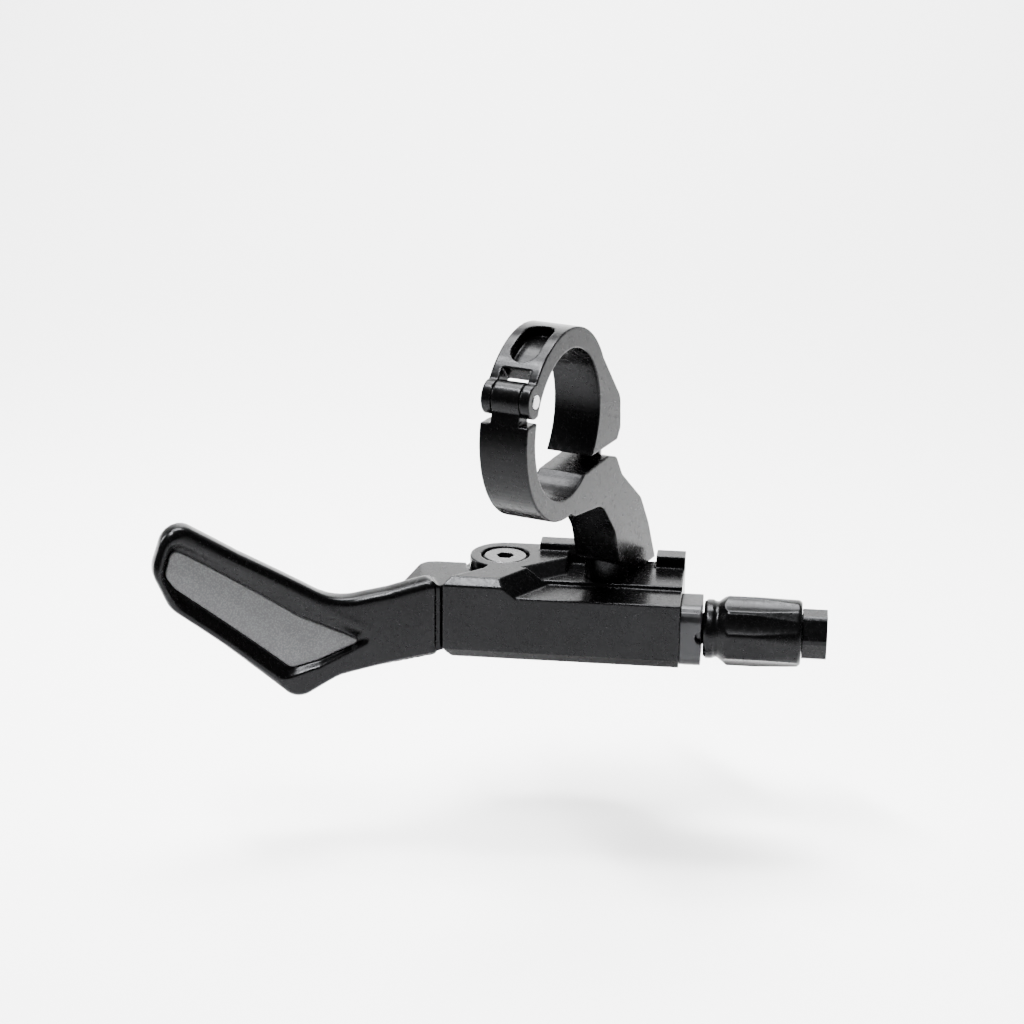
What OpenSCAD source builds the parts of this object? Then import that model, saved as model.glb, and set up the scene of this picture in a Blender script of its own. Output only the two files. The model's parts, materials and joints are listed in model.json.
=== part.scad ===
// Under-bar thumb lever on a hinged handlebar clamp, with a sliding foot,
// a ball-bearing pivot and a barrel adjuster. Sizes in millimetres.
// Origin: centre of the clamp bore. +X along the bar towards the stem,
// +Y forward, away from the rider, +Z up.

/* [Clamp] */
// Radius of the handlebar bore
bar_r = 11.1; // [11.1:0.05:11.2]
// Width of both clamp halves along the bar
clamp_w = 7.4; // [7.2:0.1:8]
// Radial thickness of the clamp ring
ring_t = 3.1; // [3:0.1:3.3]
// Radius of the clamp bolt's shank
clamp_bolt_r = 1.9; // [1.7:0.05:1.9]

/* [Housing] */
// Length of the housing along the cable
housing_len = 36.7; // [36.5:0.1:37]
// Depth of the housing, rider side to front side
housing_d = 17.8; // [17.8:0.1:18]
// Height of the housing
housing_h = 13.3; // [13.2:0.1:13.6]
// Turn of the housing about the vertical, against the bar
housing_yaw = 19; // [17:0.5:20]

/* [Lever] */
// Radius of the concave thumb face, seen from above
blade_r = 70; // [68:1:75]
// Thickness of the blade
blade_t = 4; // [3.6:0.1:4.2]
// Depth of the pocket that holds the thumb pad
pad_depth = 1.2; // [1.1:0.05:1.3]

/* [Adjuster] */
// Length of the fluted grip
grip_len = 15; // [14:0.5:16]
// Largest radius of the grip
grip_r = 5.5; // [5.4:0.05:5.7]
// Radius of the socket for the cable's outer
socket_r = 2.1; // [2.05:0.05:2.15]

/* [Hidden] */
$fn = 72;

anodised = "#26272a";
anodised_light = "#4b4d50";
steel = "#b9bbbe";
rubber = "#151515";

// ---- shared shapes -------------------------------------------------------

// A closed outline from corners [x, y, r]: every corner becomes an arc of radius r.
arc_steps = 6;
function unit(v) = v / norm(v);
function corner_arc(a, b, c) =
    let (p = [b[0], b[1]],
         u = unit([a[0], a[1]] - p),
         v = unit([c[0], c[1]] - p),
         half = acos(max(-1, min(1, u * v))) / 2,
         reach = b[2] / tan(half),
         centre = p + unit(u + v) * b[2] / sin(half),
         s = p + u * reach - centre,
         e = p + v * reach - centre)
    [for (i = [0:arc_steps])
        let (k = i / arc_steps, d = s * (1 - k) + e * k) centre + unit(d) * b[2]];
function rounded(pts) =
    let (n = len(pts))
    [for (i = [0:n - 1])
        let (b = pts[i])
        each (b[2] == 0 ? [[b[0], b[1]]]
              : corner_arc(pts[(i + n - 1) % n], b, pts[(i + 1) % n]))];

// A profile in the Y-Z plane, centred on X = 0 and w wide along X.
module across(w) {
    rotate([90, 0, 90])
        translate([0, 0, -w / 2])
            linear_extrude(w) children();
}
module ring(r_in, r_out, h) {
    difference() {
        cylinder(r = r_out, h = h);
        translate([0, 0, -1]) cylinder(r = r_in, h = h + 2);
    }
}
module hex_socket(af, depth) {
    cylinder(r = af / 2 / cos(30), h = depth, $fn = 6);
}

// ---- clamp ---------------------------------------------------------------

ring_r = bar_r + ring_t;
hinge_y = -11.3;
hinge_z = 6.3;
knuckle_r = 2.5;
pin_r = 1;
fork_w = 4.5;
tongue_w = 4.3;
shoulder_z = 3.1;         // top of the lower half beside the tongue
bolt_y = 15.9;
band_end_z = -7.2;        // underside of the band's boss
split_z = -9.3;           // top of the lower half's boss
boss_y = 19.4;
bolt_seat_z = -2.9;       // floor of the counterbore in the band's boss
bolt_head_r = 2.75;
bolt_head_h = 2.6;
washer_t = 0.5;
bolt_tip_z = -15.4;

pivot = [-15.8, 20, -29.5];     // pivot axis at the housing's top face
module in_housing() {
    translate(pivot) rotate([0, 0, housing_yaw]) children();
}

module band_profile() {
    difference() {
        union() {
            intersection() {
                circle(r = ring_r, $fn = 128);
                polygon([[-20, hinge_z], [20, hinge_z], [20, 20], [-20, 20]]);
            }
            polygon(rounded([[4, band_end_z, 0], [boss_y - 1.2, band_end_z, 0],
                             [boss_y, band_end_z + 1.6, 0.8], [boss_y - 0.3, -0.6, 2.5],
                             [12.1, 7.3, 3], [6.9, 12.2, 0], [4, 8, 0]]));
            translate([hinge_y, hinge_z]) circle(r = knuckle_r, $fn = 48);
        }
        circle(r = bar_r, $fn = 128);
    }
}

// The window that takes the tongue, and the oval pocket milled in the outer face.
module band_cuts() {
    pocket_r = (fork_w - 0.3) / 2;
    pocket_half = 2.5;
    across(fork_w) polygon([[7 * cos(133.5), 7 * sin(133.5)], [20 * cos(133.5), 20 * sin(133.5)],
                            [-20, 0], [-7, 0]]);
    difference() {
        rotate([110 - 90, 0, 0]) linear_extrude(20)
            polygon([for (end = [1, -1], i = [0:16])
                let (a = 90 * (1 - end) + 180 * i / 16)
                [pocket_r * cos(a), end * pocket_half + pocket_r * sin(a)]]);
        across(20) circle(r = ring_r - 1.8, $fn = 96);
    }
}

module clamp_band() {
    slot_reach = 2;
    color(anodised) difference() {
        across(clamp_w) band_profile();
        band_cuts();
        // pin hole
        translate([-clamp_w, hinge_y, hinge_z]) rotate([0, 90, 0]) cylinder(r = pin_r, h = 2 * clamp_w);
        // clearance slot for the bolt, long enough for the band's swing
        for (dy = [0, -slot_reach / 2, -slot_reach])
            translate([0, bolt_y + dy, -20]) cylinder(r = clamp_bolt_r + 0.3, h = 30);
        // counterbore for head and washer
        for (dy = [0, -slot_reach * 0.45])
            translate([0, bolt_y + dy, bolt_seat_z]) cylinder(r = bolt_head_r + 0.2, h = 20);
    }
}

module clamp_base_profile() {
    difference() {
        union() {
            intersection() {
                circle(r = ring_r, $fn = 128);
                polygon([[-20, -20], [20, -20], [20, split_z], [0, split_z], [-9, shoulder_z],
                         [-20, shoulder_z]]);
            }
            polygon(rounded([[6, split_z, 0], [15, split_z + 0.4, 1], [18.2, -9.9, 1.5],
                             [20.6, -13.4, 2.5], [28.4, -19.4, 4], [31.8, -24.6, 5],
                             [33.6, -28.5, 4], [35, foot_z, 0], [28.2, foot_z, 0],
                             [20.2, -27.7, 0.6], [18.1, -22, 6], [12.9, -16.2, 5], [0, -14.6, 4], [0, -12, 0]]));
        }
        circle(r = bar_r, $fn = 128);
    }
}

module clamp_base() {
    color(anodised) difference() {
        union() {
            across(clamp_w) clamp_base_profile();
            // round foot about its bolt
            translate([0, foot_y, foot_z]) cylinder(r = 3.4, h = 5);
            // hinge tongue
            across(tongue_w) difference() {
                union() {
                    intersection() {
                        circle(r = ring_r, $fn = 128);
                        polygon([[-20, 0], [-20, hinge_z], [-9, hinge_z], [-9, 0]]);
                    }
                    translate([hinge_y, hinge_z]) circle(r = knuckle_r, $fn = 48);
                }
                circle(r = bar_r, $fn = 128);
            }
        }
        // pin hole
        translate([-clamp_w, hinge_y, hinge_z])
            rotate([0, 90, 0]) cylinder(r = pin_r + 0.04, h = 2 * clamp_w);
        // clamp bolt's hole
        translate([0, bolt_y, bolt_tip_z - 0.6]) cylinder(r = clamp_bolt_r + 0.05, h = 20);
        // foot bolt's hole
        translate([0, foot_y, foot_z - 1]) cylinder(r = foot_bolt_r, h = 9);
    }
}

module hinge_pin() {
    color(steel) translate([-clamp_w / 2 - 0.1, hinge_y, hinge_z])
        rotate([0, 90, 0]) cylinder(r = pin_r, h = clamp_w + 0.2);
}

module clamp_bolt() {
    color(steel) translate([0, bolt_y, 0]) difference() {
        union() {
            translate([0, 0, bolt_tip_z])
                cylinder(r = clamp_bolt_r, h = bolt_seat_z + washer_t - bolt_tip_z + 0.1);
            translate([0, 0, bolt_seat_z + washer_t]) {
                cylinder(r = bolt_head_r, h = bolt_head_h - 0.3);
                translate([0, 0, bolt_head_h - 0.3])
                    cylinder(r1 = bolt_head_r, r2 = bolt_head_r - 0.3, h = 0.3);
            }
        }
        translate([0, 0, bolt_seat_z + washer_t + bolt_head_h - 1.6]) hex_socket(3, 5);
    }
}
module clamp_bolt_washer() {
    color(steel) translate([0, bolt_y, bolt_seat_z]) ring(clamp_bolt_r + 0.05, bolt_head_r, washer_t);
}

// ---- sliding foot --------------------------------------------------------

foot_y = 23.8;
foot_bolt_r = 1.9;
platform_w = -2;                      // platform, below the housing's top face
foot_z = pivot[2] + platform_w + 0.03;
foot_slot_u = [15.3, 17.1];           // ends of the slot's centre line
foot_slot_v = -1.5;
foot_roof_w = -5;                     // seat of the foot bolt's washer

module foot_bolt() {
    z0 = pivot[2] + foot_roof_w - 0.03 - 0.6;
    color(steel) translate([0, foot_y, z0]) difference() {
        union() {
            cylinder(r = foot_bolt_r, h = 9.5);
            translate([0, 0, -2.2]) cylinder(r = 3, h = 2.25);
        }
        translate([0, 0, -3]) hex_socket(2.5, 2.4);
    }
}
module foot_washer() {
    color(steel) translate([0, foot_y, pivot[2] + foot_roof_w - 0.03 - 0.6])
        ring(foot_bolt_r, 3.3, 0.6);
}

// ---- housing -------------------------------------------------------------

left_u = -8.4;
right_u = left_u + housing_len;
wall_v = 2.5;                         // face of the rear wall
rear_v = 5.7;
front_v = rear_v - housing_d;
boss_r = 5.6;
plate_t = 2.4;
bottom_t = 2.9;
chamfer = 1.2;
hub_r = 6.6;
pocket_r = 6.95;
barrel_v = -7.6;
barrel_w = -7.8;
stem_r = 2.4;
pivot_r = 2;
anchor_arm_r = 8.3;
anchor_angle = -72;                   // rest direction of the cable anchor
detent_u = 26.9;
plug_r = 1.3;

module in_barrel(u) {
    in_housing() translate([u, barrel_v, barrel_w]) rotate([0, 90, 0]) children();
}
module slot_shape(r, h) {
    n = 32;
    linear_extrude(h) polygon([for (end = [0, 1], i = [0:n])
        let (a = 90 + 180 * end + 180 * i / n, u = foot_slot_u[end])
        [u + r * cos(a), foot_slot_v + r * sin(a)]]);
}

// Seen from above: the block with the rounded fork end about the pivot.
module housing_plan() {
    polygon(rounded([[left_u, front_v, 0], [right_u, front_v, 0], [right_u, rear_v, 0],
                     [0, rear_v, 0], [0, 0, 0], [-2.7, -6.6, 0], [left_u, -12, 0.3]]));
    circle(r = boss_r, $fn = 96);
}

module housing() {
    h = housing_h;
    // raised end of the rear wall, beside the leg
    color(anodised) in_housing() translate([5.2, wall_v + 0.1, -0.5])
        cube([7.5, rear_v - wall_v - 0.1, 1.8]);
    color(anodised) in_housing() difference() {
        intersection() {
            translate([0, 0, -h]) linear_extrude(h) housing_plan();
            // section with the chamfers along the front, top and bottom
            translate([left_u - 1, 0, 0]) rotate([90, 0, 90]) linear_extrude(60)
                polygon([[front_v, 1.7 - h], [front_v + chamfer, -h - 0.01], [20, -h - 0.01],
                         [20, 0.01], [front_v + chamfer, 0.01], [front_v, -chamfer]]);
        }
        // front box top and platform, with the slope down from the fork
        intersection() {
            slope([2.9, -12.06], [8.2, -4.56], 2.7);
            translate([-9, -20, -2.7]) cube([60, 20 - 5.5, 5]);
        }
        intersection() {
            translate([-9, -5.6, platform_w]) cube([60, wall_v + 5.6, 5]);
            union() {
                slope([7.3, -4.56], [9.9, -2.46], -platform_w);
                translate([9.9, -2.5, platform_w]) cube([50, 10, 5]);
            }
        }
        // gap in the rear wall for the leg, with room for its slide
        translate([12.7, wall_v - 0.5, platform_w]) cube([11, 10, 5]);
        // hub pocket and the anchor's swing
        translate([0, 0, bottom_t - h]) {
            cylinder(r = pocket_r, h = h - bottom_t - plate_t, $fn = 96);
            intersection() {
                cylinder(r = 10.7, h = h - bottom_t - 3.3, $fn = 96);
                translate([-12, -12, 0]) cube([20, 6.8, 20]);
            }
            // open to the rear and the left for the lever's root
            linear_extrude(h - bottom_t - plate_t)
                polygon([[-30, 30], [-30, -8], [0, 0], [3.5, 4], [6.5, 30]]);
        }
        // pivot bolt
        translate([0, 0, -h - 1]) cylinder(r = pivot_r + 0.05, h = h + 2);
        translate([0, 0, -1.6]) cylinder(r = 3.8, h = 5);
        // access to the cable anchor's screw, from below
        rotate([0, 0, anchor_angle]) translate([anchor_arm_r, 0, -h - 1]) cylinder(r = 2.2, h = 5);
        // cable way and the adjuster's stem
        translate([-1, barrel_v, barrel_w]) rotate([0, 90, 0]) cylinder(r = 1.1, h = 40);
        translate([23.9, barrel_v, barrel_w]) rotate([0, 90, 0]) cylinder(r = stem_r + 0.05, h = 10);
        // slot and pocket for the foot bolt
        translate([0, 0, foot_roof_w - 0.5]) slot_shape(foot_bolt_r + 0.25, 6);
        translate([0, 0, -h - 1]) slot_shape(3.55, h + 1 + foot_roof_w);
        // detent bore, closed by a plug at the rear
        translate([detent_u, barrel_v, barrel_w]) rotate([-90, 0, 0]) cylinder(r = 0.95, h = 20);
        translate([detent_u, 1.5, barrel_w]) rotate([-90, 0, 0]) cylinder(r = plug_r, h = 20);
        // stop bumper's hole
        bumper_place() translate([0, 0, -2]) cylinder(r = 1.2, h = 4);
    }
}
// Everything to the right of line a-b above depth d, with a 45 degree bank on the left.
module slope(a, b, d) {
    translate([a[0], a[1], -d]) rotate([0, 0, atan2(b[1] - a[1], b[0] - a[0])])
        rotate([90, 0, 90]) translate([0, 0, -20]) linear_extrude(60)
            polygon([[-60, 0], [0, 0], [d + 1, d + 1], [-60, d + 1]]);
}

module bumper_place() {
    in = [-5.6, -9.36];
    translate([in[0], in[1], -6.2]) rotate([0, 0, 43.5]) rotate([-90, 0, 0]) children();
}
module stop_bumper() {
    color(rubber) in_housing() bumper_place() translate([0, 0, -1.4]) cylinder(r = 1.2, h = 1.85);
}

// ---- pivot ---------------------------------------------------------------

race_top = -plate_t - 0.2;
race_h = 2.3;
race_low = -(housing_h - bottom_t) + 0.2;
module pivot_bolt() {
    color(steel) in_housing() difference() {
        union() {
            translate([0, 0, -12.8]) cylinder(r = pivot_r, h = 11.8);
            translate([0, 0, -1.6]) rotate_extrude($fn = 72)
                polygon([[0, 0], [3.6, 0], [3.6, 1.1], [3.2, 1.45], [0, 1.45]]);
        }
        translate([0, 0, -1.2]) hex_socket(2.5, 3);
    }
}
module pivot_washers() {
    color(steel) in_housing() {
        translate([0, 0, race_top]) ring(pivot_r, 3, 0.2);
        translate([0, 0, race_low - 0.2]) ring(pivot_r, 3, 0.2);
    }
}
module race_rows() {
    for (w = [race_top - race_h, race_low]) translate([0, 0, w]) children();
}
module bearing_inner_races() {
    color(steel) in_housing() race_rows() rotate_extrude()
        polygon([[pivot_r, 0], [2.5, 0], [2.5, 0.8], [2.35, 0.9], [2.35, race_h - 0.9],
                 [2.5, race_h - 0.8], [2.5, race_h], [pivot_r, race_h]]);
}
module bearing_outer_races() {
    color(steel) in_housing() race_rows() translate([0, 0, 0.05]) rotate_extrude()
        polygon([[3.55, 0], [3.05, 0], [3.05, 0.7], [3.25, 0.85], [3.25, race_h - 0.95],
                 [3.05, race_h - 0.8], [3.05, race_h - 0.1], [3.55, race_h - 0.1]]);
}
module bearing_balls() {
    color(steel) in_housing() race_rows()
        for (i = [0:11]) rotate([0, 0, 30 * i]) translate([2.8, 0, race_h / 2]) sphere(r = 0.38, $fn = 24);
}
module bearing_spacer() {
    color(steel) in_housing() translate([0, 0, race_low + race_h])
        ring(pivot_r, 2.5, race_top - race_low - 2 * race_h);
}

// Torsion spring about the hub's neck, one leg at each end.
spring_r = 5.15;
spring_wire = 0.3;
spring_turns = 3;
module return_spring() {
    steps = 20;
    n = steps * spring_turns;
    low = race_low - 0.15 + spring_wire + 0.05;
    pitch = 0.8;
    sides = 8;
    ringpts = function (i) let (a = 360 * i / steps, z = low + pitch * i / steps)
        [for (k = [0:sides - 1]) let (b = 360 * k / sides)
            [(spring_r + spring_wire * cos(b)) * cos(a), (spring_r + spring_wire * cos(b)) * sin(a),
             z + spring_wire * sin(b)]];
    pts = [for (i = [0:n]) each ringpts(i)];
    faces = concat([[for (k = [0:sides - 1]) k]],
        [for (i = [0:n - 1]) for (k = [0:sides - 1])
            let (k2 = (k + 1) % sides)
            [i * sides + k, (i + 1) * sides + k, (i + 1) * sides + k2, i * sides + k2]],
        [[for (k = [sides - 1:-1:0]) n * sides + k]]);
    color(steel) in_housing() polyhedron(pts, faces);
}

// ---- lever ---------------------------------------------------------------

root = [-9.2, -12];       // start of the blade's thumb face
head0 = 5;                // its heading there
blade_c = [root[0] + blade_r * sin(head0), root[1] - blade_r * cos(head0)];
chord = 22.6;             // heading of the plane the outline is drawn in
// Distance along the chord for a distance t along the thumb face.
function along(t) = blade_r * (sin(head0 + t / blade_r * 180 / PI - chord) + sin(chord - head0));

blade_outline = rounded([for (p = [
    [-0.3, -0.3, 1.2], [7, -2.4, 6], [15.2, -3.5, 6], [30, 5.3, 12], [41.2, 12.8, 3.2],
    [44.4, 4.6, 4], [41.6, -1.9, 6], [33, -9.2, 8], [21.6, -20.1, 3.2], [15, -16.4, 5],
    [-0.3, -13, 0.8]]) [along(p[0]), p[1], p[2]]]);
pocket_outline = rounded([for (p = [
    [9.2, -10, 1.2], [18, -5, 8], [41, 9.2, 1.8], [43.2, 4, 3], [40.5, -1.7, 5],
    [24, -16, 2.5], [18, -14.2, 5]]) [along(p[0]), p[1], p[2]]]);
pad_outline = rounded([for (p = [
    [11.2, -10.4, 0.7], [21, -5.1, 8], [37.8, 6, 2], [41.6, 6.8, 1.2], [42.3, 3.6, 2],
    [40.8, 1.2, 3], [22.4, -14.7, 1.5], [18, -13.6, 4]]) [along(p[0]), p[1], p[2]]]);

module blade_band(r0, r1) {
    translate([blade_c[0], blade_c[1], -30]) difference() {
        cylinder(r = r1, h = 60, $fn = 256);
        translate([0, 0, -1]) cylinder(r = r0, h = 62, $fn = 256);
    }
}
// Puts an outline drawn in the chord plane into the housing's frame.
module chord_prism(depth) {
    translate([root[0], root[1], 0]) rotate([0, 0, 180 + chord]) rotate([90, 0, 0])
        translate([0, 0, -depth]) linear_extrude(2 * depth) children();
}
module root_plan() {
    polygon(rounded([[root[0] - 0.1, root[1] + 0.2, 0], [-3.4, -6.1, 0], [-2.6, -2, 0], [-3, -0.2, 0],
                     [-12.5, -0.2, 2], [-15.6, -5.6, 3], [-19.5, -8.8, 0], [-19.5, -12, 0],
                     [-12, -12.1, 0]]));
}
module lever() {
    color(anodised) in_housing() difference() {
        union() {
            translate([0, 0, -6.25]) cylinder(r = hub_r, h = 3.65, $fn = 96);
            translate([0, 0, race_low]) cylinder(r = 4.6, h = 5, $fn = 96);
            translate([0, 0, -7.2]) linear_extrude(4.6) root_plan();
            translate([0, 0, -12.4]) linear_extrude(10.8) difference() {
                root_plan();
                circle(r = boss_r + 0.45, $fn = 96);
            }
            intersection() {
                blade_band(blade_r, blade_r + blade_t);
                chord_prism(30) polygon(blade_outline);
            }
            // arm for the cable anchor
            rotate([0, 0, anchor_angle]) translate([0, 0, -6.2]) {
                translate([0, -2.6, 0]) cube([anchor_arm_r, 5.2, 2.6]);
                translate([anchor_arm_r, 0, 0]) cylinder(r = 2.2, h = 2.6);
            }
        }
        // bearing bores
        translate([0, 0, -20]) cylinder(r = 2.9, h = 30);
        translate([0, 0, race_low - 1]) cylinder(r = 3.55, h = race_h + 1);
        translate([0, 0, race_top - race_h]) cylinder(r = 3.55, h = race_h + 1);
        // anchor's pivot hole
        rotate([0, 0, anchor_angle]) translate([anchor_arm_r, 0, -10]) cylinder(r = 1.05, h = 10);
        // pocket for the pad
        intersection() {
            blade_band(blade_r - 2, blade_r + pad_depth);
            chord_prism(30) polygon(pocket_outline);
        }
        // keeps the root clear of the housing's diagonal
        translate([0, 0, -13.6]) linear_extrude(12.6)
            polygon([[left_u, -12.6], [left_u - 0.72, -12.6], [left_u - 0.72, -11.95], [-3.35, -6.4], [-2.7, -7.2]]);
    }
}
module thumb_pad() {
    color("#3c3d3f") in_housing() intersection() {
        blade_band(blade_r + pad_depth - 0.8, blade_r + pad_depth);
        chord_prism(30) polygon(pad_outline);
    }
}
module cable_anchor() {
    color(steel) in_housing() rotate([0, 0, anchor_angle]) translate([anchor_arm_r, 0, 0])
        difference() {
            union() {
                translate([0, 0, -6.3]) cylinder(r = 1, h = 2.6);
                translate([0, 0, -10.2]) cylinder(r = 2.2, h = 3.9);
            }
            rotate([0, 0, -anchor_angle]) translate([-5, 0, barrel_w]) rotate([0, 90, 0]) cylinder(r = 0.65, h = 10);
            translate([0, 0, -11]) cylinder(r = 1, h = 3.2);
        }
}
module pinch_screw() {
    color(steel) in_housing() rotate([0, 0, anchor_angle]) translate([anchor_arm_r, 0, -10.3])
        difference() {
            cylinder(r = 1, h = 1.85);
            translate([0, 0, -1]) hex_socket(1, 1.9);
        }
}

// ---- cable end and adjuster ----------------------------------------------

seat_t = 3.3;
module adjuster_seat() {
    color(anodised_light) in_housing() difference() {
        translate([right_u + 0.02, 0, 0]) rotate([90, 0, 90]) linear_extrude(seat_t)
            polygon(rounded([[front_v + 0.3, -13.1, 2.4], [-2.9, -13.1, 2.4],
                             [-2.9, -3.3, 2], [front_v + 0.3, -3.3, 2.4]]));
        translate([right_u - 1, barrel_v, barrel_w]) rotate([0, 90, 0]) cylinder(r = stem_r + 0.05, h = 10);
        // half-round notch for a tool, across the outer face
        translate([right_u + seat_t + 0.1, front_v - 1, barrel_w]) rotate([-90, 0, 0])
            cylinder(r = 1, h = 2.6);
    }
}

grip_u = right_u + seat_t + 0.3;
neck_len = 2;
ferrule_af = 7;
module barrel_adjuster() {
    flutes = 9;
    flute_r = 7;
    color(anodised) in_barrel(grip_u) difference() {
        union() {
            translate([0, 0, 24.1 - grip_u]) cylinder(r = stem_r, h = grip_u - 24);
            rotate_extrude($fn = 96)
                polygon([[0, 0], [4.2, 0], [4.6, 0.5], [4.6, neck_len - 0.6], [4.35, neck_len - 0.2],
                         [4.35, neck_len + 0.2], [grip_r, neck_len + 1.7], [grip_r, grip_len - 7],
                         [grip_r - 0.3, grip_len - 0.5], [grip_r - 0.7, grip_len], [0, grip_len]]);
        }
        translate([0, 0, -10]) cylinder(r = 0.95, h = 40);
        translate([0, 0, 8]) cylinder(r = 2.9, h = 20);
        for (i = [0:flutes - 1]) rotate([0, 0, 360 / flutes * i])
            translate([grip_r + flute_r - 0.42, 0, -1]) cylinder(r = flute_r, h = 30, $fn = 96);
    }
}
module ferrule() {
    color(anodised) in_barrel(grip_u) difference() {
        union() {
            translate([0, 0, 8.1]) cylinder(r = 2.85, h = grip_len - 8);
            translate([0, 0, grip_len + 0.1]) intersection() {
                cylinder(r = 3.85, h = 3.8);
                rotate([0, 0, 30]) cylinder(r = ferrule_af / 2 / cos(30), h = 3.8, $fn = 6);
            }
        }
        translate([0, 0, 0]) cylinder(r = 0.95, h = 30);
        translate([0, 0, grip_len - 4.5]) cylinder(r = socket_r, h = 20);
    }
}
module detent_ball() {
    color(steel) in_housing() translate([detent_u, barrel_v + stem_r + 0.95, barrel_w]) sphere(r = 0.88);
}
module detent_spring() {
    steps = 16;
    turns = 4;
    n = steps * turns;
    sides = 8;
    v0 = barrel_v + stem_r + 2.05;
    v1 = 1.25;
    pts = [for (i = [0:n]) let (a = 360 * i / steps)
        for (k = [0:sides - 1]) let (b = 360 * k / sides, r = 0.6 + 0.22 * cos(b))
            [r * cos(a), v0 + (v1 - v0) * i / n + 0.22 * sin(b), r * sin(a)]];
    faces = concat([[for (k = [sides - 1:-1:0]) k]],
        [for (i = [0:n - 1]) for (k = [0:sides - 1])
            let (k2 = (k + 1) % sides)
            each [[i * sides + k, i * sides + k2, (i + 1) * sides + k2],
                  [i * sides + k, (i + 1) * sides + k2, (i + 1) * sides + k]]],
        [[for (k = [0:sides - 1]) n * sides + k]]);
    color(steel) in_housing() translate([detent_u, 0, barrel_w]) polyhedron(pts, faces);
}
module detent_plug() {
    color(steel) in_housing() translate([detent_u, 1.52, barrel_w]) rotate([-90, 0, 0]) difference() {
        cylinder(r = plug_r, h = 3.4);
        translate([0, 0, 2.2]) hex_socket(1.3, 3);
    }
}

clamp_base();
clamp_band();
hinge_pin();
clamp_bolt();
clamp_bolt_washer();
foot_bolt();
foot_washer();
housing();
adjuster_seat();
pivot_bolt();
pivot_washers();
bearing_inner_races();
bearing_spacer();
bearing_outer_races();
bearing_balls();
return_spring();
stop_bumper();
lever();
thumb_pad();
cable_anchor();
pinch_screw();
barrel_adjuster();
ferrule();
detent_ball();
detent_spring();
detent_plug();
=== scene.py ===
import json
import math

import bmesh
import bpy
import mathutils.geometry
import numpy as np
from mathutils import Matrix, Vector


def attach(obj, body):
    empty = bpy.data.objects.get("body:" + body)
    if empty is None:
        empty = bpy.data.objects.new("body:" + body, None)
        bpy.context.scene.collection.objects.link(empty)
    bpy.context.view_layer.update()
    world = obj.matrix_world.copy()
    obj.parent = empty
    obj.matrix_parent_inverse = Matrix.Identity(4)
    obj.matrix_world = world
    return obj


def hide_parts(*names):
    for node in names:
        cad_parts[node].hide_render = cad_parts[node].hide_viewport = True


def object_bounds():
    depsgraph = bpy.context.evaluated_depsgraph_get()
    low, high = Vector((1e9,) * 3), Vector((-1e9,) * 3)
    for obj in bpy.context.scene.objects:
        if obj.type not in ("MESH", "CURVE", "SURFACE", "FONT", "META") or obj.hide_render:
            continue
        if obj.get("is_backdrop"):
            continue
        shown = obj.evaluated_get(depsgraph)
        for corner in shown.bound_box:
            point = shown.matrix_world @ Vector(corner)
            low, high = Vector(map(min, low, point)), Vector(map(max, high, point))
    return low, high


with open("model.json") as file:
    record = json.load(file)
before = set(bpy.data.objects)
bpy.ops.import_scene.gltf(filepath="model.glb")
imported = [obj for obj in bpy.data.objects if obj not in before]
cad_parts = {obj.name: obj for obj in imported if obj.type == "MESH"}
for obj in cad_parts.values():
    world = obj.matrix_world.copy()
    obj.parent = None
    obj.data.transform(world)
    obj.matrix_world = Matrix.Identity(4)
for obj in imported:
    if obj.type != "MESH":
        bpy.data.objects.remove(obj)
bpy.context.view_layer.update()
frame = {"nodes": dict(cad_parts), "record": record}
nodes = frame["nodes"]
MM = 0.001


def new_object(name, data):
    obj = bpy.data.objects.new(name, data)
    bpy.context.scene.collection.objects.link(obj)
    return obj


# ---- node materials, with texture scales per metre ---------------------------

CLOUD_SCALE = 140
SCUFF_SCALE = 900
SHEEN_SCALE = 1500
GRAIN_SCALE = 5200
TONE_SPREAD = 0.12
EDGE_WIDTH = 0.22 * MM
BUMP_DISTANCE = 0.06 * MM
PAD_CELL_SCALE = 3600
PAD_SHEEN_SCALE = 700


def new_material(name):
    mat = bpy.data.materials.new(name)
    mat.use_nodes = True
    tree = mat.node_tree
    shader = next(n for n in tree.nodes if n.type == "BSDF_PRINCIPLED")
    return mat, tree, shader


def node(tree, kind, **values):
    """A new node, with each value put in its socket or, failing that, its property."""
    n = tree.nodes.new(kind)
    for key, value in values.items():
        if key in n.inputs:
            n.inputs[key].default_value = value
        else:
            setattr(n, key, value)
    return n


def object_coords(tree):
    return tree.nodes.new("ShaderNodeTexCoord").outputs["Object"]


def noise(tree, coords, scale, detail=3.0, rough=0.5):
    n = node(tree, "ShaderNodeTexNoise", Scale=scale, Detail=detail, Roughness=rough)
    tree.links.new(coords, n.inputs["Vector"])
    return n.outputs["Fac"]


def remap(tree, value, low, high, to_low, to_high):
    n = node(tree, "ShaderNodeMapRange")
    for key, v in (("From Min", low), ("From Max", high), ("To Min", to_low), ("To Max", to_high)):
        n.inputs[key].default_value = v
    tree.links.new(value, n.inputs["Value"])
    return n.outputs["Result"]


def mix_colour(tree, factor, a, b):
    """Colour a to colour b by factor, where each colour is a tuple or an output."""
    n = node(tree, "ShaderNodeMix", data_type="RGBA")
    inputs = {socket.identifier: socket for socket in n.inputs}
    for key, value in (("A_Color", a), ("B_Color", b)):
        if isinstance(value, tuple):
            inputs[key].default_value = (*value, 1)
        else:
            tree.links.new(value, inputs[key])
    tree.links.new(factor, inputs["Factor_Float"])
    return next(socket for socket in n.outputs if socket.identifier == "Result_Color")


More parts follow.
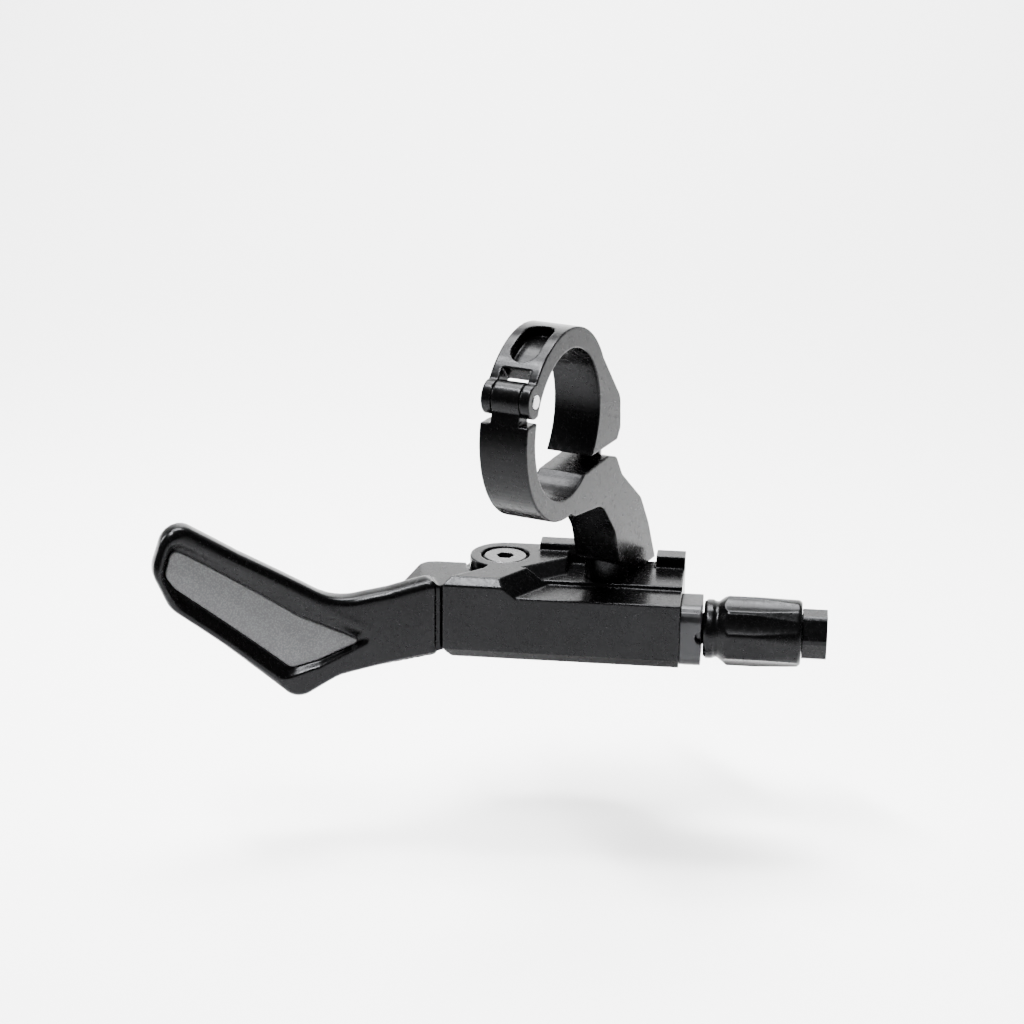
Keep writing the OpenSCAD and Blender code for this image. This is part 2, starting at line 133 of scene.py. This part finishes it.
def edge_mask(tree, radius):
    """Near 1 on sharp edges, where a finish wears and where a painted highlight goes, and the normal
    rounded over them.
    """
    bevel = node(tree, "ShaderNodeBevel", Radius=radius, samples=6)
    geo = tree.nodes.new("ShaderNodeNewGeometry")
    dot = node(tree, "ShaderNodeVectorMath", operation="DOT_PRODUCT")
    tree.links.new(bevel.outputs[0], dot.inputs[0])
    tree.links.new(geo.outputs["Normal"], dot.inputs[1])
    return remap(tree, dot.outputs["Value"], 1.0, 0.8, 0.0, 1.0), bevel.outputs[0]


def metal(name, colour, wear_and_highlight, rough, metallic, grain=GRAIN_SCALE, grain_depth=0.10, grazing=1.0):
    """A cloudy tone with fine grain, and a lighter colour along the edges that is partly wear and
    partly a painted highlight.
    """
    mat, tree, shader = new_material(name)
    coords = object_coords(tree)
    cloud = noise(tree, coords, CLOUD_SCALE, 4)
    dark = tuple(c * (1 - TONE_SPREAD) for c in colour)
    light = tuple(c * (1 + TONE_SPREAD) for c in colour)
    base = mix_colour(tree, remap(tree, cloud, 0.3, 0.7, 0, 1), dark, light)
    mask, bevel_normal = edge_mask(tree, EDGE_WIDTH)
    scuff = noise(tree, coords, SCUFF_SCALE, 5, 0.7)
    # Edge mask times scuff noise: where the lighter edge colour, partly wear and partly painted
    # highlight, shows.
    wear_and_highlight_mask = node(tree, "ShaderNodeMath", operation="MULTIPLY")
    tree.links.new(mask, wear_and_highlight_mask.inputs[0])
    tree.links.new(remap(tree, scuff, 0.35, 0.65, 0.25, 0.8), wear_and_highlight_mask.inputs[1])
    tree.links.new(mix_colour(tree, wear_and_highlight_mask.outputs[0], base, wear_and_highlight), shader.inputs["Base Color"])
    shader.inputs["Metallic"].default_value = metallic
    shader.inputs["Specular Tint"].default_value = (grazing, grazing, grazing, 1)
    sheen = noise(tree, coords, SHEEN_SCALE, 4)
    tree.links.new(remap(tree, sheen, 0.3, 0.7, rough - 0.05, rough + 0.06), shader.inputs["Roughness"])
    bump = node(tree, "ShaderNodeBump", Strength=grain_depth, Distance=BUMP_DISTANCE)
    tree.links.new(noise(tree, coords, grain, 2), bump.inputs["Height"])
    tree.links.new(bevel_normal, bump.inputs["Normal"])
    tree.links.new(bump.outputs[0], shader.inputs["Normal"])
    return mat


def textured_pad(name, colour, light):
    """Small raised cells that are lighter than the lines between them."""
    mat, tree, shader = new_material(name)
    coords = object_coords(tree)
    cells = node(tree, "ShaderNodeTexVoronoi", Scale=PAD_CELL_SCALE)
    tree.links.new(coords, cells.inputs["Vector"])
    base = mix_colour(tree, remap(tree, cells.outputs["Distance"], 0.1, 0.6, 0, 1), light, colour)
    tree.links.new(base, shader.inputs["Base Color"])
    shader.inputs["Metallic"].default_value = 0.6
    sheen = noise(tree, coords, PAD_SHEEN_SCALE, 3)
    tree.links.new(remap(tree, sheen, 0.3, 0.7, 0.36, 0.46), shader.inputs["Roughness"])
    bump = node(tree, "ShaderNodeBump", Strength=0.35, Distance=BUMP_DISTANCE)
    bump.invert = True
    tree.links.new(cells.outputs["Distance"], bump.inputs["Height"])
    tree.links.new(bump.outputs[0], shader.inputs["Normal"])
    return mat


# The second colour of each metal is its edge colour: partly wear, partly a painted highlight on the
# edges.
MATERIALS = {
    "anodised_black": metal("anodised_black", (0.006, 0.0061, 0.0065), (0.08, 0.08, 0.083), 0.24, 0.9,
                            grain_depth=0.02, grazing=0.7),
    "anodised_grey": metal("anodised_grey", (0.02, 0.0203, 0.0215), (0.11, 0.11, 0.11), 0.32, 0.85,
                           grain_depth=0.04, grazing=0.75),
    "pad_grey": textured_pad("pad_grey", (0.04, 0.0405, 0.042), (0.066, 0.066, 0.068)),
    "steel": metal("steel", (0.5, 0.5, 0.51), (0.7, 0.7, 0.7), 0.24, 1.0, grain_depth=0.05),
    "steel_dark": metal("steel_dark", (0.02, 0.02, 0.021), (0.14, 0.14, 0.14), 0.26, 0.9),
    "rubber": metal("rubber", (0.02, 0.02, 0.02), (0.03, 0.03, 0.03), 0.6, 0.0,
                    grain=3000, grain_depth=0.3),
}
slot_of = {s["node"]: s["material_slot"] for s in frame["record"]["subparts"]}
slot_of.update({"clamp_bolt": "steel_dark", "pivot_bolt": "steel_dark"})
for name, obj in nodes.items():
    obj.data.materials.clear()
    obj.data.materials.append(MATERIALS[slot_of[name]])

# ---- pieces ------------------------------------------------------------------

behaviour = frame["record"]["behaviour"]
body_of = {node_name: body for body, members in behaviour["bodies"].items() for node_name in members}
joint_of = {j["name"]: j for j in behaviour["joints"]}

# The housing's own frame has its origin on the lever's pivot and X along the slide.
slide_axis = joint_of["housing_slide"]["axis"]
HOUSING = (Matrix.Translation(Vector(joint_of["lever_swing"]["pos_m"]))
           @ Matrix.Rotation(math.atan2(slide_axis[1], slide_axis[0]), 4, "Z"))


def add_piece(name, bm, material, body, *stands_for):
    mesh = bpy.data.meshes.new(name)
    bmesh.ops.recalc_face_normals(bm, faces=bm.faces)
    bm.to_mesh(mesh)
    bm.free()
    for face in mesh.polygons:
        face.use_smooth = True
    obj = new_object(name, mesh)
    mesh.materials.append(MATERIALS[material])
    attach(obj, body)
    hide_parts(*stands_for)


# ---- the thumb blade, with outlines and depths in mm --------------------------

OUTLINE_STEP = 0.45
ARC_POINTS = 9
# Rings inside an outline that carry its rounded edge, as shares of the edge's radius.
EDGE_RINGS = (0.08, 0.3, 0.62, 1)
# How far grid points keep from an outline and from the loops in it, as shares of the pitch.
CLEAR_OF_BORDER = 0.6
CLEAR_OF_LOOP = 0.4
PROBE_STEP = 0.05
MESH_TOLERANCE = 1e-5
TINY = 1e-12

# The thumb face is part of a cylinder; outlines are drawn in a plane along its chord.
FACE_RADIUS = 70.0
ROOT_TURN = math.radians(5)
CHORD_TURN = math.radians(22.6)
ROOT = np.array([-9.2, -12.0])
CENTRE = ROOT + FACE_RADIUS * np.array([math.sin(ROOT_TURN), -math.cos(ROOT_TURN)])
ALONG_CHORD = np.array([-math.cos(CHORD_TURN), -math.sin(CHORD_TURN)])
OFF_CHORD = np.array([-math.sin(CHORD_TURN), math.cos(CHORD_TURN)])
CENTRE_ON_CHORD = (CENTRE - ROOT) @ ALONG_CHORD

FACE_DEPTH = 0.1
FACE_EDGE = 1.15
BACK_DEPTH = 3.95
BACK_EDGE = 1.0
BLADE_PITCH = 0.55
POCKET_DEPTH = 1.15
LIP_HEIGHT = 0.10
LIP_OUTSIDE = 0.35
LIP_WIDTH = 0.3
PAD_INSET = 0.12
PAD_DEPTH = 1.02
PAD_CROWN = 0.12
PAD_CROWN_WIDTH = 4
PAD_EDGE = 0.3
PAD_EDGE_SHARE = 0.6
PAD_BACK_DEPTH = 1.4
PAD_PITCH = 0.6


def rounded(corners):
    """A closed outline from corners (x, y, r), with its straight runs cut into short steps."""
    points = []
    n = len(corners)
    for i, (x, y, r) in enumerate(corners):
        p = Vector((x, y))
        u = (Vector(corners[i - 1][:2]) - p).normalized()
        v = (Vector(corners[(i + 1) % n][:2]) - p).normalized()
        half = math.acos(max(-1, min(1, u.dot(v)))) / 2
        reach = r / math.tan(half)
        centre = p + (u + v).normalized() * r / math.sin(half)
        start, end = p + u * reach - centre, p + v * reach - centre
        for k in range(ARC_POINTS):
            points.append(centre + start.lerp(end, k / (ARC_POINTS - 1)).normalized() * r)
    dense = []
    for i, p in enumerate(points):
        q = points[(i + 1) % len(points)]
        runs = max(1, int((q - p).length / OUTLINE_STEP))
        dense += [p.lerp(q, k / runs) for k in range(runs)]
    return np.array(dense)


def signed_distance(pts, loop):
    """Distance of each point to a closed loop, positive inside."""
    a, b = loop, np.roll(loop, -1, 0)
    d = b - a
    rel = pts[:, None, :] - a[None]
    k = np.clip((rel * d).sum(2) / np.maximum((d * d).sum(1), TINY), 0, 1)
    dist = np.sqrt(((rel - k[..., None] * d) ** 2).sum(2)).min(1)
    y, x = pts[:, 1:2], pts[:, 0:1]
    cross = (a[None, :, 1] > y) != (b[None, :, 1] > y)
    dy = np.where(b[:, 1] == a[:, 1], TINY, b[:, 1] - a[:, 1])
    at = a[None, :, 0] + (y - a[None, :, 1]) * (d[None, :, 0] / dy[None])
    inside = ((cross & (x < at)).sum(1) % 2) == 1
    return np.where(inside, dist, -dist)


def offset_loop(loop, by):
    """The loop moved inwards, or outwards where the distance is negative."""
    d = np.roll(loop, -1, 0) - np.roll(loop, 1, 0)
    n = np.stack([-d[:, 1], d[:, 0]], 1)
    n /= np.linalg.norm(n, axis=1)[:, None]
    probe = signed_distance(loop + n * PROBE_STEP, loop)
    n *= np.sign(np.median(probe))
    return loop + n * by


def sheet_mesh(border, loops, pitch):
    """Points and triangles that fill the border, and where each border point went."""
    pts = [border]
    edges = [(i, (i + 1) % len(border)) for i in range(len(border))]
    count = len(border)
    for loop in loops:
        pts.append(loop)
        edges += [(count + i, count + (i + 1) % len(loop)) for i in range(len(loop))]
        count += len(loop)
    low, high = border.min(0), border.max(0)
    gx, gy = np.meshgrid(np.arange(low[0], high[0], pitch), np.arange(low[1], high[1], pitch))
    grid = np.stack([gx.ravel(), gy.ravel()], 1)
    grid[:, 0] += (np.round(grid[:, 1] / pitch) % 2) * pitch / 2
    keep = signed_distance(grid, border) > pitch * CLEAR_OF_BORDER
    for loop in loops:
        keep &= np.abs(signed_distance(grid, loop)) > pitch * CLEAR_OF_LOOP
    pts.append(grid[keep])
    points = [Vector(p) for p in np.concatenate(pts)]
    outline = [list(range(len(border)))]
    out = mathutils.geometry.delaunay_2d_cdt(points, edges, outline, 1, MESH_TOLERANCE)
    verts, faces, origins = out[0], out[2], out[3]
    border_vert = {}
    for i, sources in enumerate(origins):
        for k in sources:
            if k < len(border):
                border_vert[k] = i
    return (np.array([list(v) for v in verts]),
            [list(f) for f in faces],
            [border_vert[k] for k in range(len(border))])


def along(t):
    """Where a distance along the curved face falls on its chord."""
    return FACE_RADIUS * (math.sin(ROOT_TURN + t / FACE_RADIUS - CHORD_TURN)
                          + math.sin(CHORD_TURN - ROOT_TURN))


def on_blade(pts, depth):
    """Outline points at depths below the thumb face, in the CAD model's frame."""
    s = pts[:, 0] - CENTRE_ON_CHORD
    out = np.sqrt((FACE_RADIUS + depth) ** 2 - s * s)
    uv = CENTRE + s[:, None] * ALONG_CHORD + out[:, None] * OFF_CHORD
    local = np.column_stack([uv, pts[:, 1], np.ones(len(pts))]) * np.array([MM, MM, MM, 1])
    return (np.array(HOUSING) @ local.T).T[:, :3]


def drawn(corners):
    return rounded([(along(t), w, r) for t, w, r in corners])


def smoothstep(x):
    x = np.clip(x, 0, 1)
    return x * x * (3 - 2 * x)


def eased(distance, r):
    """How far a rounded edge of radius r has fallen away at a distance from the outline."""
    x = np.clip(1 - distance / r, 0, 1)
    return r * (1 - np.sqrt(1 - x * x))


def slab(name, border, front_depth, back_depth, loops, pitch, edge, material, body, *stands_for):
    """A curved plate between two depth functions, closed round its border."""
    rings = [offset_loop(border, edge * share) for share in EDGE_RINGS]
    bm = bmesh.new()
    rims = []
    for depth_of, extra in ((front_depth, loops), (back_depth, [])):
        pts, faces, rim = sheet_mesh(border, rings + extra, pitch)
        place = on_blade(pts, depth_of(pts))
        verts = [bm.verts.new(p) for p in place]
        for f in faces:
            bm.faces.new([verts[i] for i in f])
        rims.append([verts[i] for i in rim])
    front, rear = rims
    for i in range(len(border)):
        j = (i + 1) % len(border)
        bm.faces.new((front[i], front[j], rear[j], rear[i]))
    add_piece(name, bm, material, body, *stands_for)


# Corners are (distance along the face, height, corner radius).
BLADE = drawn([(-0.3, -0.4, 1.2), (7, -2.5, 9), (15.2, -4.0, 9), (30, 5.1, 14), (41.2, 12.7, 3.2),
               (44.3, 4.6, 4), (41.5, -1.8, 6), (33, -9.1, 8), (21.6, -19.9, 3.2), (15, -16.3, 7),
               (-0.3, -12.9, 0.8)])
POCKET = drawn([(9, -9.9, 1.2), (18, -4.6, 8), (41, 9.9, 1.8), (43.1, 4, 3), (40.4, -1.7, 5),
                (24, -15.9, 2.5), (18, -14.3, 5)])
PAD = drawn([(10.9, -10.8, 0.7), (21, -5.8, 8), (38.2, 6.3, 3), (40.9, 8.0, 1.2), (42.3, 3.6, 2),
             (40.7, 1.2, 3), (22.4, -14.6, 1.5), (18, -13.6, 4)])


def thumb_face(pts):
    """A raised lip, then a slope from the pocket's outline down to the pad's."""
    to_pocket, to_pad = signed_distance(pts, POCKET), signed_distance(pts, PAD)
    slope = np.clip(to_pocket / np.maximum(to_pocket - to_pad, 1e-6), 0, 1)
    slope = np.where(to_pad >= 0, 1, np.where(to_pocket <= 0, 0, slope))
    fall = 0.5 * slope + 0.5 * smoothstep(slope)
    lip = LIP_HEIGHT * np.exp(-((to_pocket + LIP_OUTSIDE) / LIP_WIDTH) ** 2)
    return eased(signed_distance(pts, BLADE), FACE_EDGE) + POCKET_DEPTH * fall - lip + FACE_DEPTH


def thumb_back(pts):
    return BACK_DEPTH - eased(signed_distance(pts, BLADE), BACK_EDGE)


def pad_face(pts):
    inside = signed_distance(pts, PAD)
    crown = PAD_CROWN * smoothstep(inside / PAD_CROWN_WIDTH)
    return PAD_DEPTH - crown + PAD_EDGE_SHARE * eased(inside - PAD_INSET, PAD_EDGE)


def pad_back(pts):
    return np.full(len(pts), PAD_BACK_DEPTH)


pocket_loops = [offset_loop(POCKET, by) for by in (-0.5, -0.2, 0, 0.2)]
pad_loops = [offset_loop(PAD, by) for by in (-0.2, 0.0)]
slab("lever_blade", BLADE, thumb_face, thumb_back, pocket_loops + pad_loops,
     BLADE_PITCH, FACE_EDGE, "anodised_black", "lever", "lever")
slab("pad_insert", offset_loop(PAD, PAD_INSET), pad_face, pad_back, [],
     PAD_PITCH, PAD_EDGE, "pad_grey", "lever", "thumb_pad")

# ---- pieces with eased edges --------------------------------------------------

SMOOTHING = 0.5
MERGE_DISTANCE = 0.002 * MM

# Planes that cut the lever's root free, each a point in mm and the side that goes.
ROOT_CUTS = (
    ((-18.4, 0, 0), (-1, 0, 0)),
    ((-9.2, -11.35, 0), (0.12, -1, 0)),
    ((-13.2, -3, -1.6), (-0.52, -0.1, 0.85)),
)
ROOT_VOXEL = 0.2
ROOT_ROUNDS = 9

# The frame each piece is rebuilt in, the size of its cells in mm, and its smoothing rounds.
CLAMP_LOCAL = Matrix.Identity(4)
HOUSING_LOCAL = HOUSING.inverted()
EASED_NODES = (
    ("clamp_base", CLAMP_LOCAL, 0.13, 7),
    ("clamp_band", CLAMP_LOCAL, 0.11, 6),
    ("housing", HOUSING_LOCAL, 0.14, 6),
    ("adjuster_seat", HOUSING_LOCAL, 0.12, 5),
    ("barrel_adjuster", HOUSING_LOCAL, 0.12, 3),
)


def worked(name, bm, node_name, to_local, voxel, rounds):
    """A piece with every edge eased, as forging, machining and polishing leave it."""
    bm.transform(to_local)
    rough = bpy.data.meshes.new(name + "_rough")
    bm.to_mesh(rough)
    bm.free()
    tool = new_object(name + "_rough", rough)
    remesh = tool.modifiers.new("remesh", "REMESH")
    remesh.mode = "VOXEL"
    remesh.voxel_size = voxel * MM
    smooth = tool.modifiers.new("smooth", "SMOOTH")
    smooth.factor = SMOOTHING
    smooth.iterations = rounds
    bpy.context.view_layer.update()
    shape = tool.evaluated_get(bpy.context.evaluated_depsgraph_get())
    done = bmesh.new()
    done.from_mesh(shape.to_mesh())
    bpy.data.objects.remove(tool)
    done.transform(to_local.inverted())
    add_piece(name, done, slot_of[node_name], body_of[node_name], node_name)


def node_mesh(name):
    bm = bmesh.new()
    bm.from_mesh(nodes[name].data)
    bmesh.ops.remove_doubles(bm, verts=bm.verts, dist=MERGE_DISTANCE)
    return bm


def lever_root():
    """The hub, the root block and the anchor's arm, with the blade and the corner over it cut away."""
    bm = node_mesh("lever")
    bm.transform(HOUSING_LOCAL)
    for point, normal in ROOT_CUTS:
        bmesh.ops.bisect_plane(bm, geom=bm.verts[:] + bm.edges[:] + bm.faces[:],
                               plane_co=Vector(point) * MM, plane_no=Vector(normal), clear_outer=True)
        bmesh.ops.holes_fill(bm, edges=[e for e in bm.edges if e.is_boundary])
    bm.transform(HOUSING)
    return bm


worked("lever_root", lever_root(), "lever", HOUSING_LOCAL, ROOT_VOXEL, ROOT_ROUNDS)
for name, to_local, voxel, rounds in EASED_NODES:
    worked(name + "_finished", node_mesh(name), name, to_local, voxel, rounds)

# ---- floor, light, camera -----------------------------------------------------

FLOOR_GAP = 22 * MM
FLOOR_FRONT = -0.9
FLOOR_BACK = 0.25
FLOOR_HALF_WIDTH = 1.6
BEND_RADIUS = 0.35
BEND_STEPS = 12
WALL_TOP = 1.5


def backdrop():
    """A paper floor below the object that bends up into a wall behind it."""
    floor_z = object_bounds()[0][2] - FLOOR_GAP
    profile = [(FLOOR_FRONT, 0.0), (FLOOR_BACK, 0.0)]
    for i in range(BEND_STEPS + 1):
        a = math.radians(90 * i / BEND_STEPS)
        profile.append((FLOOR_BACK + BEND_RADIUS * math.sin(a), BEND_RADIUS * (1 - math.cos(a))))
    profile.append((FLOOR_BACK + BEND_RADIUS, WALL_TOP))
    bm = bmesh.new()
    rows = []
    for y, z in profile:
        rows.append([bm.verts.new((x, y, z + floor_z)) for x in (-FLOOR_HALF_WIDTH, FLOOR_HALF_WIDTH)])
    for a, b in zip(rows, rows[1:]):
        bm.faces.new((a[0], a[1], b[1], b[0]))
    mesh = bpy.data.meshes.new("backdrop")
    bm.to_mesh(mesh)
    bm.free()
    for face in mesh.polygons:
        face.use_smooth = True
    obj = new_object("backdrop", mesh)
    mat, tree, shader = new_material("paper")
    shader.inputs["Roughness"].default_value = 0.9
    cloud = noise(tree, object_coords(tree), 6, 2)
    tree.links.new(mix_colour(tree, cloud, (0.86, 0.86, 0.86), (0.9, 0.9, 0.9)),
                   shader.inputs["Base Color"])
    mesh.materials.append(mat)
    obj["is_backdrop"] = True


OBJECT = (0, 0, -0.02)
WALL = (-0.24, 0.5, -0.08)
# Name, place, target, size, power in watts, spread in degrees.
LIGHTS = (
    ("key_top", (-0.06, 0.14, 0.5), OBJECT, (0.5, 0.09), 1.6, 70),
    ("edge_front", (-0.1, -0.14, 0.5), OBJECT, (0.45, 0.03), 2.0, 60),
    ("fill_left", (-0.5, 0.0, 0.16), OBJECT, (0.06, 0.25), 0.4, 60),
    ("wash", (-0.24, 0.32, 0.6), WALL, (0.5, 0.25), 14, 130),
)
WORLD_STRENGTH = 0.24


def area(name, place, target, size, power, spread):
    data = bpy.data.lights.new(name, "AREA")
    data.shape = "RECTANGLE"
    data.size, data.size_y = size
    data.energy = power
    data.spread = math.radians(spread)
    obj = new_object(name, data)
    obj.location = place
    obj.rotation_euler = (Vector(target) - Vector(place)).to_track_quat("-Z", "Y").to_euler()


def studio_world():
    world = bpy.data.worlds.new("studio")
    bpy.context.scene.world = world
    world.use_nodes = True
    background = world.node_tree.nodes["Background"]
    background.inputs["Color"].default_value = (1, 1, 1, 1)
    background.inputs["Strength"].default_value = WORLD_STRENGTH


# The camera looks from the front right and above, with lengths in mm.
AZIMUTH = math.radians(25.5)
ELEVATION = math.radians(19.0)
ROLL = math.radians(0.6)
DISTANCE = 343.9
MOVED_LEFT = 4.812
MOVED_DOWN = 13.075
SENSOR = 36
LENS = 83.8477


def add_camera():
    back = Vector((math.sin(AZIMUTH) * math.cos(ELEVATION),
                   -math.cos(AZIMUTH) * math.cos(ELEVATION),
                   math.sin(ELEVATION)))
    right = Vector((math.cos(AZIMUTH), math.sin(AZIMUTH), 0))
    up = back.cross(right)
    right, up = (right * math.cos(ROLL) + up * math.sin(ROLL),
                 up * math.cos(ROLL) - right * math.sin(ROLL))
    place = (back * DISTANCE - right * MOVED_LEFT - up * MOVED_DOWN) * MM
    data = bpy.data.cameras.new("camera")
    data.sensor_width = SENSOR
    data.lens = LENS
    data.clip_start = 0.01
    camera = new_object("camera", data)
    turn = Matrix((right, up, back)).transposed().to_4x4()
    camera.matrix_world = Matrix.Translation(place) @ turn
    bpy.context.scene.camera = camera


backdrop()
for light in LIGHTS:
    area(*light)
studio_world()
add_camera()
